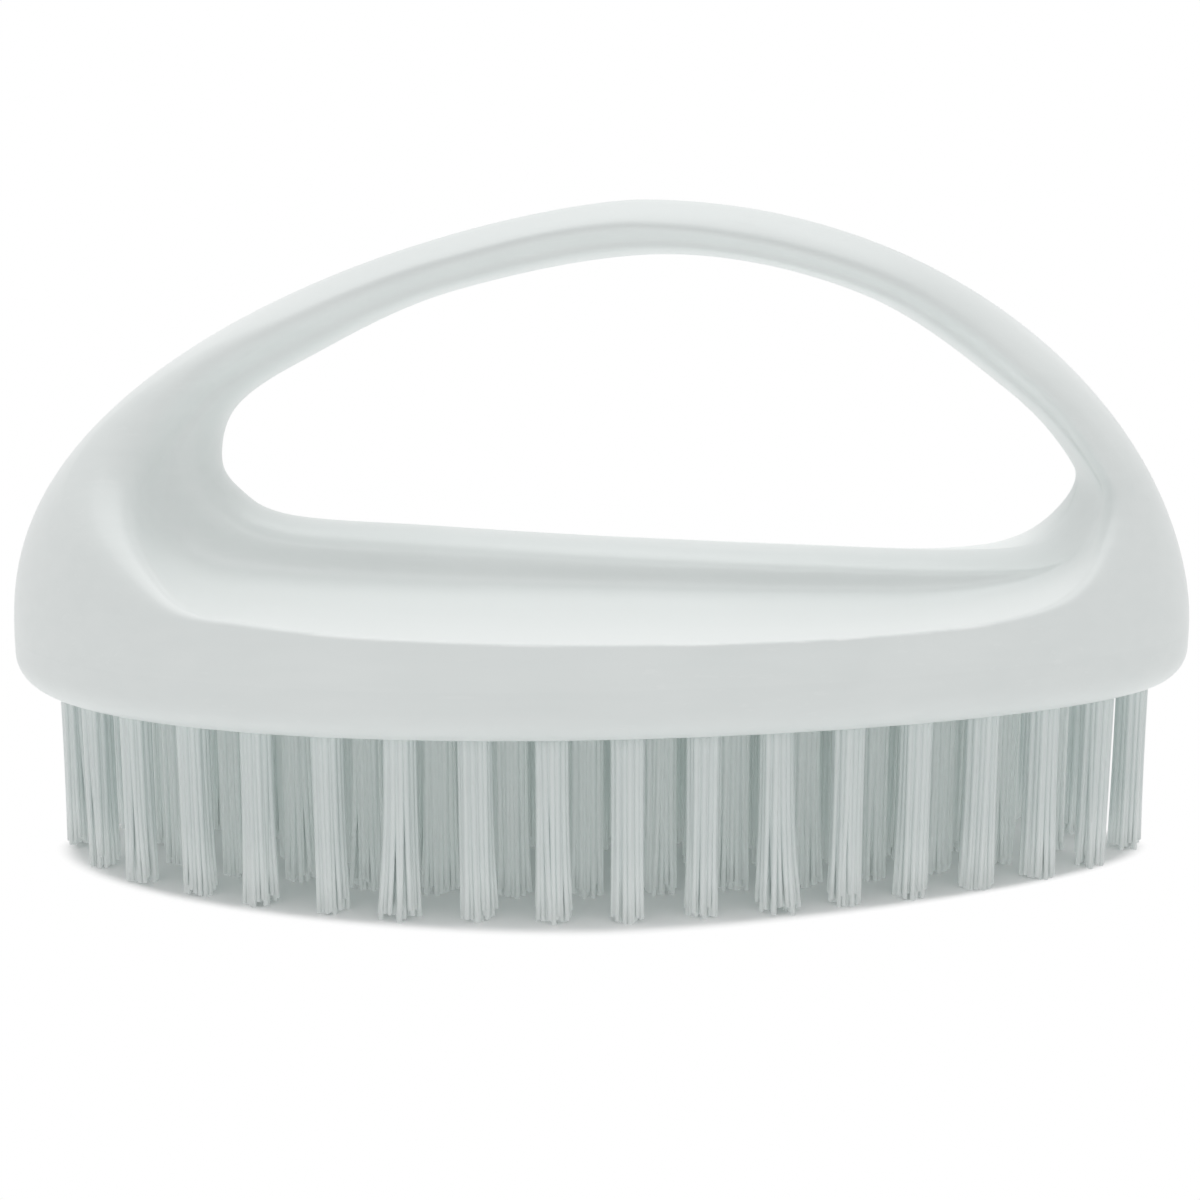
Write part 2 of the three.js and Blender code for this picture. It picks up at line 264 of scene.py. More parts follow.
def bristle_filament(name, dark, light, tip):
    material, wire = new_material(name)
    tone = wire.node("ShaderNodeAttribute", attribute_name="strand_tone", output="Fac")
    along = stretched_noise(wire, (1, 1, 0.08), 2500, 1)
    mixed = 0.7 * tone + 0.3 * along
    colour = wire.node("ShaderNodeValToRGB", {"Fac": mixed}, stops=[(0.0, dark), (1.0, light)])
    place = wire.node("ShaderNodeTexCoord", output="Object")
    height = wire.node("ShaderNodeSeparateXYZ", {0: place}, output="Z")
    # Near the tips the colour turns to the tip colour: painted light on the outer row, painted shade on the
    # inner rows.
    painted_tip_share = wire.node("ShaderNodeMapRange", {0: height, 1: 0.0, 2: tip_length * MM, 3: 1.0, 4: 0.0})
    colour = wire.node("ShaderNodeMix", {"Factor": painted_tip_share, 6: colour, 7: tip}, output=2, data_type="RGBA")
    shader = wire.node("ShaderNodeBsdfPrincipled", {
        "Base Color": colour,
        "Roughness": 0.36 + 0.12 * along,
        "IOR": 1.53,
    })
    wire.node("ShaderNodeOutputMaterial", {"Surface": shader})
    return material


outer_nylon = bristle_filament(
    "outer_nylon", linear(227, 234, 233), linear(235, 241, 240), linear(247, 251, 250))
inner_nylon = bristle_filament(
    "inner_nylon", linear(247, 251, 250), linear(251, 254, 253), linear(246, 250, 249))
print("Filaments:", outer_nylon.name, inner_nylon.name)

# %% [markdown]
# ## The handle's guide lines
# The handle is one loop. Seen from the side its outside is a dome, higher than a half circle and lopsided.
# Inside it runs the edge of the finger hole, and between them, on each side, a rim edge where the rounded
# outside turns into a scooped side. All three lines are written as shares of a few real sizes, at sixteen
# places round the loop, and smooth curves join the places.

# %% Handle sizes
body_length = 95.2
body_width = 42.3
body_height = 53.05
slimming = 0.186
foot_height = 19.15
seam_height = 19.0
crown_offset = 2.84
crown_thickness = 4.1
crown_half_width = 7
rim_draft = 0.5
wall_height = 2.7
web_half_thickness = 4.6
crown_web_half_thickness = 5.8
hole_edge_round = 3.3
hole_left = 16.9 - body_length / 2
hole_right = body_length / 2 - 8.5
hole_top = body_height - crown_thickness
floor_rise_left = 8.68
floor_rise_right = 5.08
half_length = body_length / 2
half_width = body_width / 2
dome_height = body_height - foot_height
dome_left = (1.463, 2.188)
dome_right = (2.034, 1.782)
foot_dip = 0.2
side_bulge = 0.45

# Angles of the outside round the foot and over the dome, both counted from the right
foot_angles = [math.pi, 2.36, 1.94, math.pi / 2, 1.18, 0.78, 0]
dome_angles = [-foot_dip, 0.28, 0.53, 0.77, 1.14, 1.6, 1.98, 2.25, 2.45, 2.76, math.pi + foot_dip]

# Round the loop from the middle of the base: rim along, rim up, hole along, hole up, rim flare, rim softness.
# No flare means that the rim lies on the base's wall.
loop = [
    (0.435, -0.172, 0.442, -0.008, None, 0.3),
    (0.673, -0.138, 0.673, -0.006, None, 0.3),
    (0.865, -0.088, 0.862, 0.003, None, 0.45),
    (0.957, 0.006, 0.957, 0.039, None, 1.2),
    (0.997, 0.2, 1, 0.187, 0.6, 2.4),
    (0.99, 0.349, 0.984, 0.322, 0.1, 2.0),
    (0.911, 0.615, 0.902, 0.554, 0, 1.1),
    (0.736, 0.95, 0.733, 0.864, 0, 0.65),
    (0.481, 1.107, 0.515, 0.997, 0, 0.55),
    (0.257, 0.98, 0.274, 0.87, 0, 0.65),
    (0.08, 0.751, 0.106, 0.621, 0.1, 1.1),
    (-0.026, 0.537, 0.021, 0.43, 0.8, 2.8),
    (-0.096, 0.19, 0, 0.23, 3.4, 5.4),
    (-0.022, -0.132, 0.018, 0.107, None, 2.0),
    (0.072, -0.19, 0.075, 0.014, None, 0.6),
    (0.232, -0.193, 0.24, 0, None, 0.35),
]
print(len(loop), "guide places round the loop")


# %% [markdown]
# The three lines come from plain formulas. The first is a smooth curve through a few places, which reads a
# value anywhere between them.


# %% Smooth curves
def power(value, exponent):
    return np.sign(value) * np.abs(value) ** exponent


def smooth_line(keys, places, closed):
    """A smooth curve through keys, read at places counted in keys."""
    keys = np.asarray(keys, float)
    first = np.floor(places).astype(int)
    if not closed:
        first = np.clip(first, 0, len(keys) - 2)
    share = places - first
    around = [first - 1, first, first + 1, first + 2]
    if closed:
        around = [place % len(keys) for place in around]
    else:
        around = [np.clip(place, 0, len(keys) - 1) for place in around]
    before, start, end, after = (keys[place] for place in around)
    share = share.reshape(share.shape + (1,) * (keys.ndim - 1))
    leave = (end - before) / 2
    arrive = (after - start) / 2
    cubic = 2 * start - 2 * end + leave + arrive
    square = -3 * start + 3 * end - 2 * leave - arrive
    return ((cubic * share + square) * share + leave) * share + start


print("Between 0, 1 and 4 the curve passes", smooth_line([0, 1, 4], np.array([0.5, 1.5]), closed=False))

# %% [markdown]
# The dome is a power of sine and cosine, with its own powers on the left and on the right. The base's wall is
# an egg at each height. A place on the rim or on the edge of the hole is given in shares of the finger hole.


# %% Dome, base and hole
def dome_point(angle):
    across, up = np.cos(angle), np.sin(angle)
    right = across >= 0
    along_exponent = np.where(right, dome_right[0], dome_left[0])
    up_exponent = np.where(right, dome_right[1], dome_left[1])
    reach = np.where(right, half_length - crown_offset, half_length + crown_offset)
    x = crown_offset + reach * power(across, 2 / along_exponent)
    return np.stack([x, 0 * x, foot_height + dome_height * power(up, 2 / up_exponent)], axis=-1)


def taper(x):
    """The base is egg-shaped: its width shrinks from the left end to the right."""
    return 1 - slimming * x / half_length


def wall_half_width(x, z):
    """Half the width of the base's upright wall: an egg at each height, as long as the dome is there."""
    up = np.abs(z - foot_height) / dome_height
    right = crown_offset + (half_length - crown_offset) * (1 - up ** dome_right[1]) ** (1 / dome_right[0])
    left = crown_offset - (half_length + crown_offset) * (1 - up ** dome_left[1]) ** (1 / dome_left[0])
    share = np.minimum(1, np.abs(2 * x - left - right) / (right - left))
    return half_width * taper(x) * np.sqrt(1 - share ** 2)


def hole_point(along, up):
    floor = foot_height + floor_rise_left + (floor_rise_right - floor_rise_left) * along
    return np.array([hole_left + (hole_right - hole_left) * along, 0, floor + (hole_top - floor) * up])


def rim_point(along, up, flare):
    point = hole_point(along, up)
    on_wall = flare is None
    point[1] = wall_half_width(point[0], foot_height) - rim_draft if on_wall else crown_half_width + flare
    return point


print("The wall is", round(2 * float(wall_half_width(0.0, foot_height)), 1), "mm wide in the middle")

# %% [markdown]
# Now the lines can be drawn. The outside has two parts: over the dome from the right foot to the left one,
# and back round the front and the back of the base at foot height.

# %% Lines round the loop
stations_per_place = 24
places = np.arange(len(loop) * stations_per_place) / stations_per_place
rim_line = smooth_line([rim_point(g[0], g[1], g[4]) for g in loop], places, closed=True)
hole_line = smooth_line([hole_point(g[2], g[3]) for g in loop], places, closed=True)
softness = smooth_line([g[5] for g in loop], places, closed=True)

right_foot, left_foot = 3, 13
over_dome = dome_point(smooth_line(dome_angles, places - right_foot, closed=False))
foot_angle = smooth_line(foot_angles, (places - left_foot) % len(loop), closed=False)
foot_share = ((1 - np.cos(foot_angle)) / 2)[:, None]
foot_ends = dome_point(np.array([-foot_dip, math.pi + foot_dip]))
round_foot = foot_ends[0] + (foot_ends[1] - foot_ends[0]) * foot_share
round_foot[:, 1] = wall_half_width(round_foot[:, 0], round_foot[:, 2])
under_base = (places < right_foot) | (places >= left_foot)
outer_line = np.where(under_base[:, None], round_foot, over_dome)
print(len(places), "stations; hole from", round(hole_left, 1), "to", round(hole_right, 1), "mm")


# %% [markdown]
# At each station the handle has a cross section: from the outside over a swelling side to the rim, round a
# soft corner, down a scooped cove to the web, and over the rounded edge of the finger hole. The cove is a
# cubic curve: even where the side is narrow, and a flat shelf that turns up close to the web where it is
# broad. Toward the crown the web thickens, so the scoop there is shallow.


# %% Handle cross sections
round_limit = 0.4
narrow_shelf = 3
broad_shelf = 12
web_thickens = (0.58, 0.86)

# How a cove leaves the rim, nears the web and turns up it, as shares
narrow_cove = np.array([0.3, 0.6, 0.4])
broad_cove = np.array([-0.06, 0.14, 0.04])


def smooth_step(value, low, high):
    share = np.clip((value - low) / (high - low), 0, 1)
    return share * share * (3 - 2 * share)


def outside_of_section(outer, rim, steps=60):
    share = (np.linspace(0, 1, steps) ** 2)[:, None]
    points = outer + (rim - outer) * share
    swell = share[:, 0] * (1 + side_bulge * (1 - share[:, 0]))
    swollen = np.sqrt(outer[1] ** 2 + (rim[1] ** 2 - outer[1] ** 2) * swell)
    above = smooth_step(points[:, 2], foot_height, foot_height + wall_height)
    wall = wall_half_width(points[:, 0], points[:, 2])
    points[:, 1] = wall + (swollen - wall) * above
    return points


def cove_of_section(rim, hole, steps=60):
    reach = math.hypot(hole[0] - rim[0], hole[2] - rim[2])
    edge_round = min(hole_edge_round, round_limit * reach)
    crowned = smooth_step((rim[2] - foot_height) / dome_height, *web_thickens)
    web = web_half_thickness + (crown_web_half_thickness - web_half_thickness) * crowned
    shelf = rim[1] - web
    broad = smooth_step(shelf, narrow_shelf, broad_shelf)
    rise, foot, turn = narrow_cove + (broad_cove - narrow_cove) * broad
    t = np.linspace(0, 1, steps)
    first, second, last = 3 * t * (1 - t) ** 2, 3 * t * t * (1 - t), t ** 3
    depth = first * rise * reach + second * turn * reach + last * (reach - edge_round)
    width = web + shelf * ((1 - t) ** 3 + first * foot)
    around = np.linspace(0, math.pi / 2, steps)[1:]
    depth = np.append(depth, reach - edge_round + edge_round * np.sin(around))
    width = np.append(width, web * np.cos(around))
    points = rim + (hole - rim) * (depth / reach)[:, None]
    points[:, 1] = width
    return points


print("Web", 2 * web_half_thickness, "mm thick, and", 2 * crown_web_half_thickness, "mm at the crown")

# %% [markdown]
# The corner is a parabola between two points at equal distance from the rim, so its softness can differ round
# the loop: crisp along the front of the base and soft at the ends, as on the real moulding. Points are set
# out along each section at equal steps, and the other half is its mirror image.


# %% Rings of points
def read_line(points, distances):
    lengths = np.append(0, np.cumsum(np.linalg.norm(np.diff(points, axis=0), axis=1)))
    return np.stack([np.interp(distances, lengths, points[:, k]) for k in range(3)], axis=1)


def line_length(points):
    return np.linalg.norm(np.diff(points, axis=0), axis=1).sum()


outside_points, corner_points, cove_points = 18, 9, 44


def half_section(outer, rim, hole, soft):
    outside = outside_of_section(outer, rim)[::-1]
    cove = cove_of_section(rim, hole)
    outside_places = np.linspace(line_length(outside), soft, outside_points)
    cove_places = np.linspace(soft, line_length(cove), cove_points)
    t = np.linspace(0, 1, corner_points + 2)[1:-1, None]
    start, end = read_line(outside, [soft]), read_line(cove, [soft])
    corner = (1 - t) ** 2 * start + 2 * t * (1 - t) * rim + t ** 2 * end
    return np.concatenate([read_line(outside, outside_places), corner, read_line(cove, cove_places)])


halves = np.array([half_section(*lines) for lines in zip(outer_line, rim_line, hole_line, softness)])
halves[:, -1, 1] = 0
mirrored = halves[:, -2::-1] * (1, -1, 1)
rings = np.concatenate([halves, mirrored], axis=1)
print("Handle grid:", rings.shape[0], "by", rings.shape[1], "points")


# %% [markdown]
# Every piece is made into an object in the same way: it rides on the frame's one body, names the CAD nodes
# that it replaces, and has a slot for its material.


# %% Pieces
def new_piece(name, mesh, material, nodes):
    piece = bpy.data.objects.new(name, mesh)
    bpy.context.scene.collection.objects.link(piece)
    if material:
        mesh.materials.clear()
        mesh.materials.append(material)
    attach(piece, "root")
    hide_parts(*nodes)
    print(name, len(mesh.polygons), "faces")


def shade(mesh, angle=35):
    mesh.shade_smooth()
    mesh.set_sharp_from_angle(angle=math.radians(angle))


# %% [markdown]
# Three attributes mark where the plastic is worn or has light painted on it: the rim where it is crisp, with
# worn edge and a painted highlight; the crown, painted darker as painted shade; and the shelf under the
# fingers, painted paler as painted light. Each fades in over a named range, in millimetres.

# %% Worn edge and painted light marks
# The crown's painted shade fades in over these heights; the shelf's painted light over these widths and
# heights.
crown_heights = (42, 50)
shelf_widths = (3.4, 9)
shelf_heights = (24, 29)
crisp_rim = (0.35, 0.55)


def both_sides(half):
    return np.append(half, half[-2::-1])


def paint_and_wear_marks():
    """The rim, crown and shelf marks of every point of the rings."""
    corner = slice(outside_points, outside_points + corner_points)
    bend = np.zeros(halves.shape[1])
    bend[corner] = np.hanning(corner_points + 2)[1:-1]
    # rim: worn edge and painted highlight
    rim = np.outer(1 - smooth_step(softness, *crisp_rim), both_sides(bend)).ravel()
    inside = smooth_step(np.arange(halves.shape[1]), corner.start, corner.stop)
    inside = np.tile(both_sides(inside), len(rings))
    _, across, up = np.abs(rings.reshape(-1, 3)).T
    # crown: painted shade, and a rougher skin
    crown = (1 - inside) * smooth_step(up, *crown_heights)
    # shelf: painted light
    shelf = inside * smooth_step(across, *shelf_widths) * (1 - smooth_step(up, *shelf_heights))
    return {"rim_edge": rim, "crown": crown, "shelf": shelf}


marks = paint_and_wear_marks()
print("Marked points:", {name: int((mark > 0).sum()) for name, mark in marks.items()})

# %% [markdown]
# The rings become one closed skin. It is cut level at the seam where the plate is welded on, and filled.
# Only that cut is a sharp edge, so the skin is shaded smooth up to a wide angle.

# %% Handle mesh
handle_smooth_angle = 65
same_point = 0.001


def handle_mesh():
    count, width = rings.shape[:2]
    skin = bmesh.new()
    layers = [skin.verts.layers.float.new(name) for name in marks]
    corners = [skin.verts.new(point) for point in rings.reshape(-1, 3) * MM]
    for corner, *values in zip(corners, *marks.values()):
        for layer, value in zip(layers, values):
            corner[layer] = value
    for r in range(count):
        for c in range(width):
            ahead, beside = (r + 1) % count, (c + 1) % width
            skin.faces.new([corners[r * width + c], corners[r * width + beside],
                            corners[ahead * width + beside], corners[ahead * width + c]])
    bmesh.ops.remove_doubles(skin, verts=skin.verts, dist=same_point * MM)
    everything = skin.verts[:] + skin.edges[:] + skin.faces[:]
    bmesh.ops.bisect_plane(skin, geom=everything, plane_co=(0, 0, seam_height * MM), plane_no=(0, 0, 1),
                           clear_inner=True)
    edge = [e for e in skin.edges if e.is_boundary]
    bmesh.ops.contextual_create(skin, geom=edge)
    bmesh.ops.recalc_face_normals(skin, faces=skin.faces)
    mesh = bpy.data.meshes.new("handle_loop")
    skin.to_mesh(mesh)
    skin.free()
    shade(mesh, handle_smooth_angle)
    return mesh


new_piece("handle_loop", handle_mesh(), handle_plastic, ["handle"])

# %% [markdown]
# ## Tuft places
# The tufts stand in egg-shaped rings, one inside the other, round a short straight row. Each ring has tufts
# at equal steps along it. The places come from the same sizes as the CAD rows, so every tuft stays where its
# solid is. Only one at the left end stands a little off its step, as on the real brush.

# %% Tuft places
plate_bottom = 14.65
backing_half_width = 1.9
fit_gap = 0.3
skirt_wall = 1.9
row_end_step = 6.2
row_exponent = 1.66
oval_rows = 3
tuft_pitch = 5.7
shifted_tuft, tuft_shift = 17, 0.45
outer_row_inset = skirt_wall + fit_gap + backing_half_width
row_step = (half_width - outer_row_inset) / oval_rows


def row_oval(row):
    half_long = half_length - outer_row_inset - row * row_end_step
    return half_long, half_width - outer_row_inset - row * row_step


def oval_tufts(row, start_share):
    """Places at equal steps along an oval row, the first a share of one step past its right end."""
    half_long, half_wide = row_oval(row)
    angle = np.linspace(0, 2 * math.pi, 4001)
    x = half_long * power(np.cos(angle), 2 / row_exponent)
    y = half_wide * taper(x) * power(np.sin(angle), 2 / row_exponent)
    path = np.stack([x, y, 0 * x], axis=1)
    count = round(line_length(path) / tuft_pitch)
    return read_line(path, (np.arange(count) + start_share) / count * line_length(path))


def middle_tufts():
    half_long, half_wide = row_oval(oval_rows - 1)
    inner_half_width = (half_wide - backing_half_width) * taper(half_long)
    share = (backing_half_width + fit_gap) / inner_half_width
    meeting = (half_long - backing_half_width) * (1 - share ** row_exponent) ** (1 / row_exponent)
    reach = meeting - backing_half_width
    x = np.linspace(-reach, reach, 2 * round(reach / tuft_pitch) + 1)
    return np.stack([x, 0 * x, 0 * x], axis=1)


tuft_rows = {
    "outer_tuft_row": oval_tufts(0, 0.94),
    "second_tuft_row": oval_tufts(1, 0.84),
    "third_tuft_row": oval_tufts(2, 0.7),
    "middle_tuft_row": middle_tufts(),
}
tuft_rows["outer_tuft_row"][shifted_tuft, 0] += tuft_shift
print("Tufts:", {name: len(tufts) for name, tufts in tuft_rows.items()})

# %% [markdown]
# ## The bristle plate
# The plate is egg-shaped, with a well rounded lower edge and a hole for every tuft. The holes repeat, so
# Geometry Nodes drill them: the plate's mesh carries one loose point for each hole, the tree puts a drill and
# a countersink on each point, and two Mesh Booleans take them all away.

# %% Plate drilling tree
hole_radius = 1.36
hole_sides = 20
drill_depth = 3.2
mouth_depth = 0.25
plate_top_edge = 1.3
oval_sides = 240


def tree_with_inputs(name, inputs):
    tree = bpy.data.node_groups.new(name, "GeometryNodeTree")
    tree.interface.new_socket("Geometry", in_out="OUTPUT", socket_type="NodeSocketGeometry")
    tree.interface.new_socket("Geometry", in_out="INPUT", socket_type="NodeSocketGeometry")
    for label, kind in inputs.items():
        tree.interface.new_socket(label, in_out="INPUT", socket_type="NodeSocket" + kind)
    return tree, Wire(tree).node("NodeGroupInput")


def drilled_plate_tree():
    tree, given = tree_with_inputs("drilled_plate", {
        "Hole Radius": "Float", "Mouth Depth": "Float", "Plate Bottom": "Float", "Drill Depth": "Float",
        "Material": "Material"})
    radius, mouth = given.output("Hole Radius"), given.output("Mouth Depth")
    bottom, depth = given.output("Plate Bottom"), given.output("Drill Depth")
    is_hole = given.node("GeometryNodeInputNamedAttribute", {"Name": "hole_place"}, data_type="BOOLEAN")
    blank = given.output("Geometry")
    split = given.node("GeometryNodeSeparateGeometry", {"Geometry": blank, "Selection": is_hole})
    drill = given.node("GeometryNodeMeshCylinder", {
        "Vertices": hole_sides, "Radius": radius, "Depth": depth * 2})
    drill_height = given.node("ShaderNodeCombineXYZ", {"Z": bottom})
    drill = given.node("GeometryNodeTransform", {"Geometry": drill, "Translation": drill_height})
    cutter = given.node("GeometryNodeMeshCone", {
        "Vertices": hole_sides, "Radius Top": radius * 0.98, "Radius Bottom": radius + 2 * mouth,
        "Depth": mouth * 2.2})
    mouth_height = given.node("ShaderNodeCombineXYZ", {"Z": bottom - mouth})
    # Turned by half a side, so that no edge of the cutter lies along one of the drill
    half_side = (0, 0, math.pi / hole_sides)
    cutter = given.node("GeometryNodeTransform", {
        "Geometry": cutter, "Translation": mouth_height, "Rotation": half_side})
    holes = split.output("Selection")
    drills = given.node("GeometryNodeInstanceOnPoints", {"Points": holes, "Instance": drill})
    mouths = given.node("GeometryNodeInstanceOnPoints", {"Points": holes, "Instance": cutter})
    drilled = split.output("Inverted")
    for cutters in (drills, mouths):
        cut = given.node("GeometryNodeRealizeInstances", {"Geometry": cutters})
        drilled = given.node("GeometryNodeMeshBoolean", {"Mesh 1": drilled, "Mesh 2": cut},
                             operation="DIFFERENCE", solver="MANIFOLD")
    whole = given.node("GeometryNodeRealizeInstances", {"Geometry": drilled})
    whole = given.node("GeometryNodeSetMaterial", {"Geometry": whole, "Material": given.output("Material")})
    given.node("NodeGroupOutput", {"Geometry": whole})
    return tree


def made_by_nodes(name, base_mesh, tree, values):
    """The plain mesh that a Geometry Nodes tree makes of a base mesh."""
    carrier = bpy.data.objects.new(name + "_base", base_mesh)
    bpy.context.scene.collection.objects.link(carrier)
    modifier = carrier.modifiers.new("nodes", "NODES")
    modifier.node_group = tree
    for item in tree.interface.items_tree:
        if item.in_out == "INPUT" and item.name in values:
            modifier[item.identifier] = values[item.name]
    evaluated = carrier.evaluated_get(bpy.context.evaluated_depsgraph_get())
    made = bpy.data.meshes.new_from_object(evaluated)
    made.name = name
    bpy.data.objects.remove(carrier)
    return made


# %% [markdown]
# The blank is a stack of eggs. The lower ones draw in along a quarter circle, which rounds the edge.

# %% Bristle plate
edge_steps = 14


def plate_blank():
    edge_radius = foot_height - fit_gap - plate_bottom - plate_top_edge
    levels = []
    for turn in np.linspace(0, math.pi / 2, edge_steps):
        levels.append((edge_radius * (1 - math.sin(turn)), plate_bottom + edge_radius * (1 - math.cos(turn))))
    levels.append((0, seam_height))
    angle = np.arange(oval_sides) / oval_sides * 2 * math.pi
    blank = bmesh.new()
    hole_layer = blank.verts.layers.bool.new("hole_place")
    rows = []
    for inset, height in levels:
        long, wide = half_length - inset, half_width - inset
        x, y = long * np.cos(angle), wide * np.sin(angle)
        points = np.stack([x, y * taper(x), np.full(oval_sides, height)], axis=1)
        rows.append([blank.verts.new(point) for point in points * MM])
    for low, high in zip(rows, rows[1:]):
        for c in range(oval_sides):
            beside = (c + 1) % oval_sides
            blank.faces.new([low[c], low[beside], high[beside], high[c]])
    blank.faces.new(rows[0][::-1])
    blank.faces.new(rows[-1])
    for tufts in tuft_rows.values():
        for x, y, _ in tufts:
            blank.verts.new(Vector((x, y, 0)) * MM)[hole_layer] = True
    mesh = bpy.data.meshes.new("plate_blank")
    blank.to_mesh(mesh)
    blank.free()
    return mesh


plate_mesh = made_by_nodes("drilled_plate", plate_blank(), drilled_plate_tree(), {
    "Hole Radius": hole_radius * MM, "Mouth Depth": mouth_depth * MM, "Plate Bottom": plate_bottom * MM,
    "Drill Depth": drill_depth * MM, "Material": plate_plastic})
shade(plate_mesh)
new_piece("drilled_plate", plate_mesh, None, ["bristle_plate"])

# %% [markdown]
# ## The bristles
# A tuft is a tight bundle of filaments that fans out a little toward its cut tips, and a used brush has a
# few tufts that splay. Each row's base mesh holds one point for each tuft, with the way that tuft leans. The
# tree makes many copies of each point, sets them out evenly like the seeds of a sunflower, puts a tapered
# filament on each, and then bends it: outward from its tuft, with its neighbours, and a little on its own.


# %% Tuft tree
strand_sides, strand_segments = 6, 5
drift_scale = 700.0
bend_power = 2.4


def tuft_tree():
    tree, given = tree_with_inputs("bristle_tufts", {
        "Strands": "Int", "Tuft Radius": "Float", "Root Radius": "Float", "Tip Radius": "Float",
        "Root Height": "Float", "Fan": "Float", "Clumping": "Float", "Stray": "Float", "Unevenness": "Float",
        "Seed": "Int", "Material": "Material"})
    strands, seed = given.output("Strands"), given.output("Seed")
    root = given.output("Root Height")

    def named(name, kind):
        return given.node("GeometryNodeInputNamedAttribute", {"Name": name}, data_type=kind)

    def stored(geometry, name, kind, value):
        sockets = {"Geometry": geometry, "Name": name, "Value": value}
        return given.node("GeometryNodeStoreNamedAttribute", sockets, data_type=kind)

    def chance(low, high, step):
        return given.node("FunctionNodeRandomValue", {2: low, 3: high, 8: seed + step}, output=1)

    copies = given.node("GeometryNodeDuplicateElements",
                        {"Geometry": given.output("Geometry"), "Amount": strands}, domain="POINT")
    number = copies.output("Duplicate Index")
    share = ((number + 0.5) / strands) ** 0.5
    golden_turn = math.pi * (3 - math.sqrt(5))
    turn = number * golden_turn + named("tuft_turn", "FLOAT")
    cosine, sine = given.math("COSINE", turn), given.math("SINE", turn)
    outward = given.node("ShaderNodeCombineXYZ", {"X": cosine, "Y": sine})
    offset = scaled(outward, share * given.output("Tuft Radius"))
    spread = given.node("GeometryNodeSetPosition", {"Geometry": copies.output("Geometry"), "Offset": offset})

    fan = scaled(outward, share * given.output("Fan") * named("tuft_fan", "FLOAT"))
    place = given.node("GeometryNodeInputPosition")
    drift = {"Vector": place, "Scale": drift_scale, "Detail": 1.0}
    drift = given.node("ShaderNodeTexNoise", drift, output="Color")
    drift = given.node("ShaderNodeVectorMath", {0: drift, 1: (0.5, 0.5, 0.5)}, operation="SUBTRACT")
    flat = {0: scaled(drift, given.output("Clumping")), 1: (1, 1, 0)}
    drift = given.node("ShaderNodeVectorMath", flat, operation="MULTIPLY")
    stray = given.node("ShaderNodeCombineXYZ", {"X": chance(-1, 1, 1), "Y": chance(-1, 1, 2)})
    stray = scaled(stray, given.output("Stray") * chance(0, 1, 3) ** 3)
    tip_shift = vector_sum(fan, drift, stray, named("tuft_lean", "FLOAT_VECTOR"))
    ready = stored(spread, "tip_shift", "FLOAT_VECTOR", tip_shift)
    ready = stored(ready, "tip_lift", "FLOAT", given.output("Unevenness") * chance(0, 1, 4) ** 2)
    ready = stored(ready, "strand_tone", "FLOAT", chance(0, 1, 5))

    strand = given.node("GeometryNodeMeshCone", {
        "Vertices": strand_sides, "Side Segments": strand_segments, "Depth": root,
        "Radius Top": given.output("Root Radius"), "Radius Bottom": given.output("Tip Radius")})
    bundle = given.node("GeometryNodeInstanceOnPoints", {"Points": ready, "Instance": strand})
    bundle = given.node("GeometryNodeRealizeInstances", {"Geometry": bundle})

    height = given.node("ShaderNodeSeparateXYZ", {0: given.node("GeometryNodeInputPosition")}, output="Z")
    down = 1 - height / root
    bend = scaled(named("tip_shift", "FLOAT_VECTOR"), down ** bend_power)
    lift = given.node("ShaderNodeCombineXYZ", {"Z": named("tip_lift", "FLOAT") * down})
    bent = given.node("GeometryNodeSetPosition", {"Geometry": bundle, "Offset": vector_sum(bend, lift)})
    whole = given.node("GeometryNodeSetShadeSmooth", {"Geometry": bent})
    whole = given.node("GeometryNodeSetMaterial", {"Geometry": whole, "Material": given.output("Material")})
    given.node("NodeGroupOutput", {"Geometry": whole})
    return tree


# %% Tuft rows
# The splayed tufts of a row by number: how far they lean along the brush, in mm, and how far they fan
splayed_tufts = {"outer_tuft_row": {22: (-0.3, 3.2), 27: (0.3, 3.2)}}
usual_lean = 0.07
usual_fan = (0.3, 1.6)


def row_points(name, tufts, chances):
    """One point for each tuft of a row, with its turn, how far it fans and which way it leans."""
    mesh = bpy.data.meshes.new(name + "_points")
    mesh.from_pydata(tufts * MM, [], [])
    lean = np.zeros((len(tufts), 3))
    lean[:, :2] = chances.normal(0, usual_lean, (len(tufts), 2))
    turn = chances.uniform(0, 7, len(tufts))
    fan = chances.uniform(*usual_fan, len(tufts))
    for tuft, (along, spread) in splayed_tufts.get(name, {}).items():
        lean[tuft, 0], fan[tuft] = along, spread
    mesh.attributes.new("tuft_turn", "FLOAT", "POINT").data.foreach_set("value", turn)
    mesh.attributes.new("tuft_fan", "FLOAT", "POINT").data.foreach_set("value", fan)
    leans = mesh.attributes.new("tuft_lean", "FLOAT_VECTOR", "POINT")
    leans.data.foreach_set("vector", (lean * MM).ravel())
    return mesh


bristle_tree = tuft_tree()
bristle_sizes = {
    "Strands": 48, "Tuft Radius": 1.06 * MM, "Root Radius": 0.3 * MM, "Tip Radius": 0.19 * MM,
    "Root Height": 16.5 * MM, "Fan": 0.18 * MM, "Clumping": 0.45 * MM, "Stray": 0.45 * MM,
    "Unevenness": 1.1 * MM}
for seed, (name, tufts) in enumerate(tuft_rows.items()):
    points = row_points(name, tufts, np.random.default_rng(seed))
    nylon = outer_nylon if name == "outer_tuft_row" else inner_nylon
    row_values = {**bristle_sizes, "Seed": 10 * seed, "Material": nylon}
    row_mesh = made_by_nodes("bristles_" + name, points, bristle_tree, row_values)
    new_piece("bristles_" + name, row_mesh, None, [name])

# %% [markdown]
# ## The table
# The table is white and glows faintly, so it throws light back up under the base. It keeps the brush's shadow
# between and round the bristle tips, and a little further out the camera sees it as plain white. How far a
# spot lies from the tips comes from the same egg as the outer row. Seen from below, the table is clear.

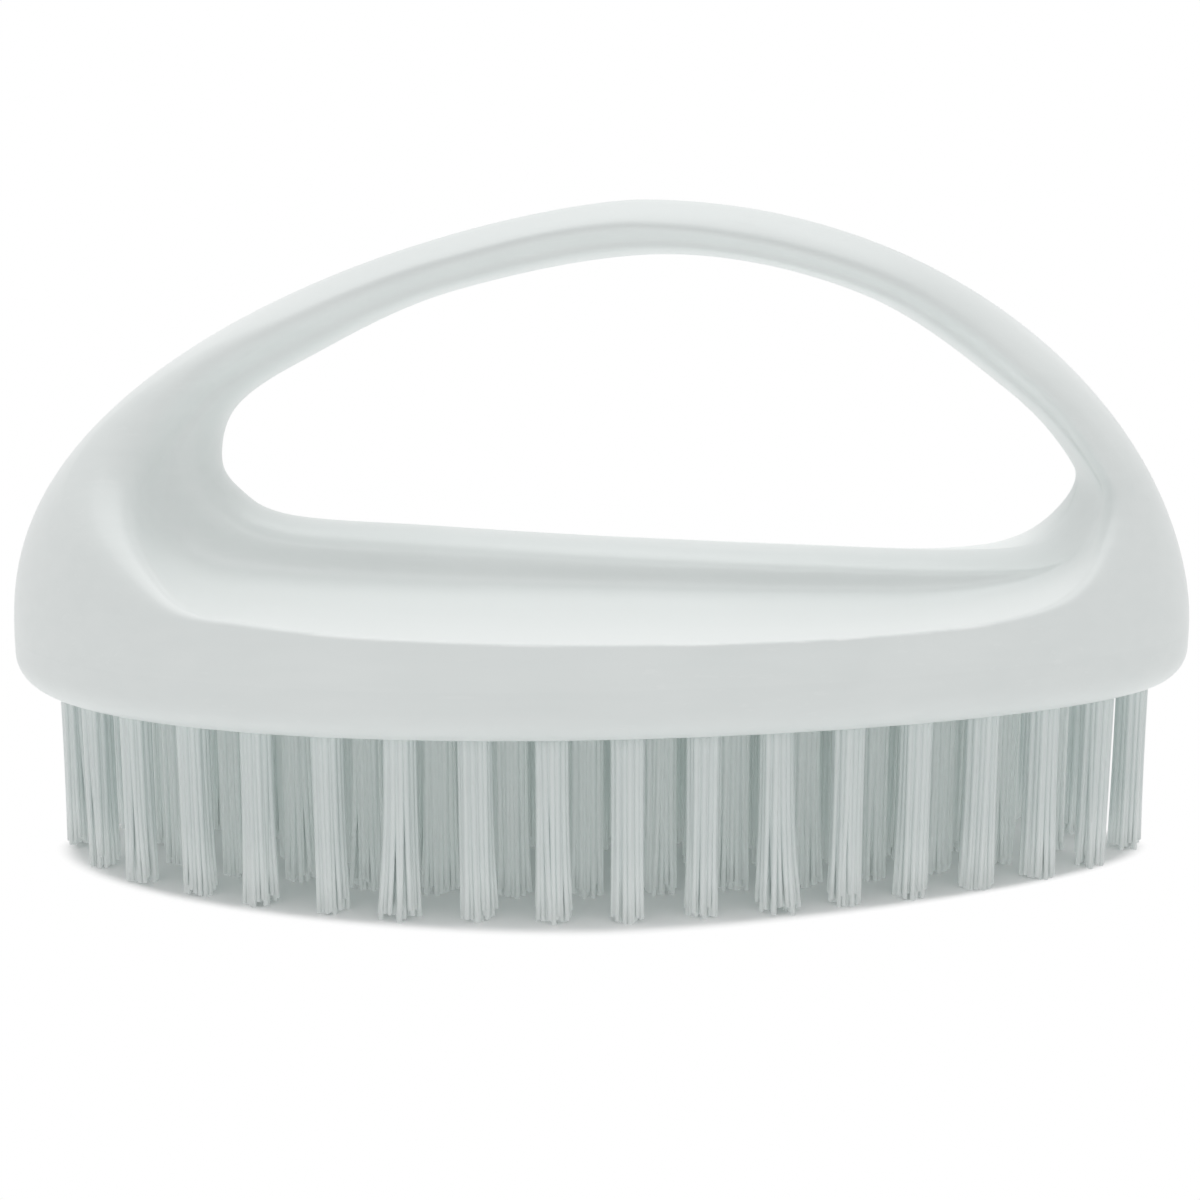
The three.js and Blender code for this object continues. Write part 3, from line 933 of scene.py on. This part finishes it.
# %% Table
table_half = 350
table_mesh = bpy.data.meshes.new("table")
table_corners = [(-1, -1, 0), (1, -1, 0), (1, 1, 0), (-1, 1, 0)]
table_mesh.from_pydata(np.array(table_corners) * table_half * MM, [], [(0, 1, 2, 3)])
table = bpy.data.objects.new("table", table_mesh)
bpy.context.scene.collection.objects.link(table)
print("Table:", 2 * table_half, "mm wide")

# %% Table material
table_glow = 0.16
tip_spread = (0, 1.2)
shadow_fade = 2.2
table_white, sheet = new_material("table_white")
place = sheet.node("ShaderNodeTexCoord", output="Object")
from_middle = sheet.node("ShaderNodeVectorMath", {0: place}, output="Value", operation="LENGTH")
spot = sheet.node("ShaderNodeSeparateXYZ", {0: place})
tips_long, tips_wide = np.add(row_oval(0), tip_spread).tolist()
along = sheet.math("ABSOLUTE", spot / (tips_long * MM)) ** row_exponent
egg_width = tips_wide * MM * (1 - slimming / (half_length * MM) * spot)
across = sheet.math("ABSOLUTE", spot.output("Y") / egg_width) ** row_exponent
past_tips = from_middle * (1 - (along + across) ** (-1 / row_exponent))
past_shadow = sheet.node(
    "ShaderNodeMapRange", {0: past_tips, 2: shadow_fade * MM}, interpolation_type="SMOOTHSTEP")
in_view = sheet.node("ShaderNodeLightPath", output="Is Camera Ray")
paper = sheet.node("ShaderNodeBsdfDiffuse", {"Color": (0.9, 0.9, 0.9, 1)})
glow = sheet.node("ShaderNodeEmission", {"Color": (1, 1, 1, 1), "Strength": table_glow * (1 - in_view)})
paper = sheet.node("ShaderNodeAddShader", {0: paper, 1: glow})
plain_white = sheet.node("ShaderNodeEmission", {"Color": (1, 1, 1, 1), "Strength": 1.0})
paper = sheet.node("ShaderNodeMixShader", {0: past_shadow * in_view, 1: paper, 2: plain_white})
clear = sheet.node("ShaderNodeBsdfTransparent")
from_below = sheet.node("ShaderNodeNewGeometry", output="Backfacing")
paper = sheet.node("ShaderNodeMixShader", {0: from_below, 1: paper, 2: clear})
sheet.node("ShaderNodeOutputMaterial", {"Surface": paper})
table_mesh.materials.append(table_white)
print("Shadow kept", shadow_fade, "mm past the tips")
